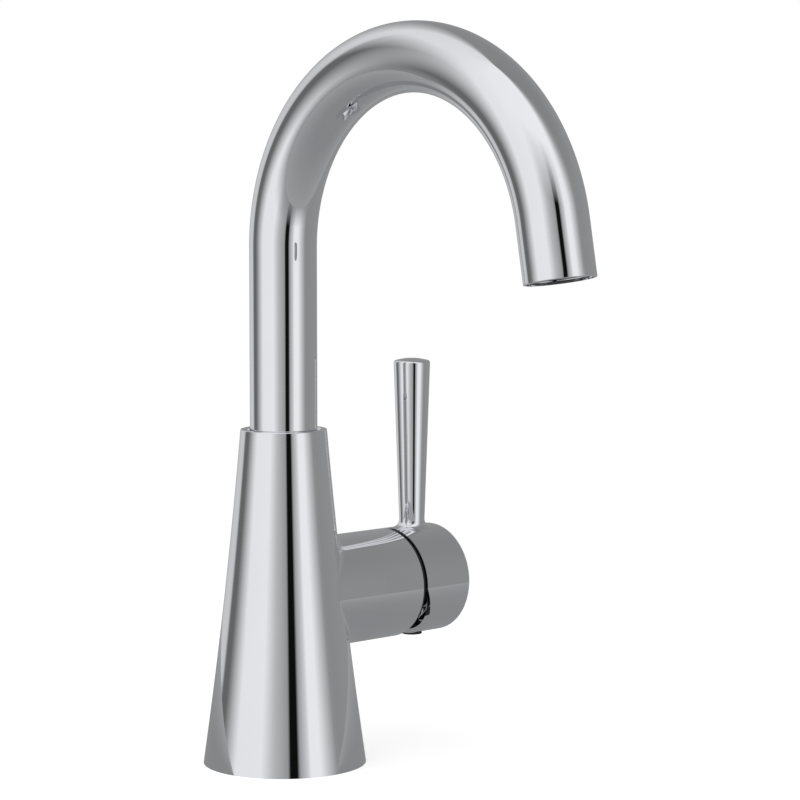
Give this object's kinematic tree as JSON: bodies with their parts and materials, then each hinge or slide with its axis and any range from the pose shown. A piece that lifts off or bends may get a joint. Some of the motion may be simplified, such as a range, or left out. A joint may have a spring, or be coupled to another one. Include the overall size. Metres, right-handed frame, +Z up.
{
  "type": "single-lever basin mixer",
  "caption": "Chrome basin mixer: conical body, side valve barrel with an upright round tapered lever, and a tall swivelling gooseneck spout.",
  "frame": {"origin": "centre of the body's base on the deck", "axes": "+Z up; the spout points along -Y towards the user; the valve and lever are on the +X side"},
  "size_m": [0.11, 0.1849, 0.2777],
  "materials": {
    "chrome": "polished chrome plate",
    "brass": "machined brass",
    "copper": null,
    "steel": "stainless steel",
    "rubber": "matt",
    "ceramic": null,
    "white_plastic": "moulded",
    "grey_plastic": "moulded",
    "blue_plastic": "moulded",
    "red_plastic": "moulded",
    "black_plastic": "moulded"
  },
  "bodies": {
    "body": {"body_shell": "chrome", "barrel_shell": "chrome", "base_plate": "brass", "deck_gasket": "rubber", "tie_screws": "steel", "inlet_tube_hot": "copper", "inlet_tube_cold": "copper", "inlet_o_rings": "rubber", "valve_body": "brass", "spout_riser": "brass", "port_seals": "rubber", "cartridge_housing": "white_plastic", "fixed_disc": "ceramic", "retaining_nut": "brass", "dome_cover": "chrome", "glide_ring": "black_plastic", "stop_pin": "steel", "thrust_washer": "white_plastic", "spout_bush": "black_plastic"},
    "temperature": {"stem_guide": "grey_plastic", "pivot_pin": "steel"},
    "carrier": {"disc_carrier": "blue_plastic", "moving_disc": "ceramic"},
    "handle": {"handle": "chrome", "stem": "brass", "set_screw": "steel", "screw_plug": "black_plastic"},
    "spout": {"spout_upright": "chrome", "spout_bend": "chrome", "spout_end": "chrome", "spout_shank": "brass", "shank_o_rings": "rubber", "snap_ring": "steel", "aerator_sleeve": "chrome", "aerator_core": "grey_plastic", "flow_regulator": "red_plastic", "aerator_washer": "rubber"}
  },
  "joints": [
    {"name": "temperature_turn", "type": "hinge", "parent": "body", "child": "temperature", "pos_m": [0.0555, 0, 0.063], "axis": [1, 0, 0], "range_deg": [-45, 45]},
    {"name": "lever_tilt", "type": "hinge", "parent": "temperature", "child": "handle", "pos_m": [0.0555, 0, 0.063], "axis": [0, 1, 0], "range_deg": [0, 20]},
    {"name": "disc_slide", "type": "slide", "parent": "temperature", "child": "carrier", "axis": [0, 0, 1], "range_m": [0, 0.0039]},
    {"name": "spout_swivel", "type": "hinge", "parent": "body", "child": "spout", "pos_m": [0, 0, 0.11], "axis": [0, 0, 1], "range_deg": [-60, 60]}
  ],
  "couplings": [
    {"joint": "disc_slide", "follows": "lever_tilt", "m_per_rad": 0.0109}
  ]
}
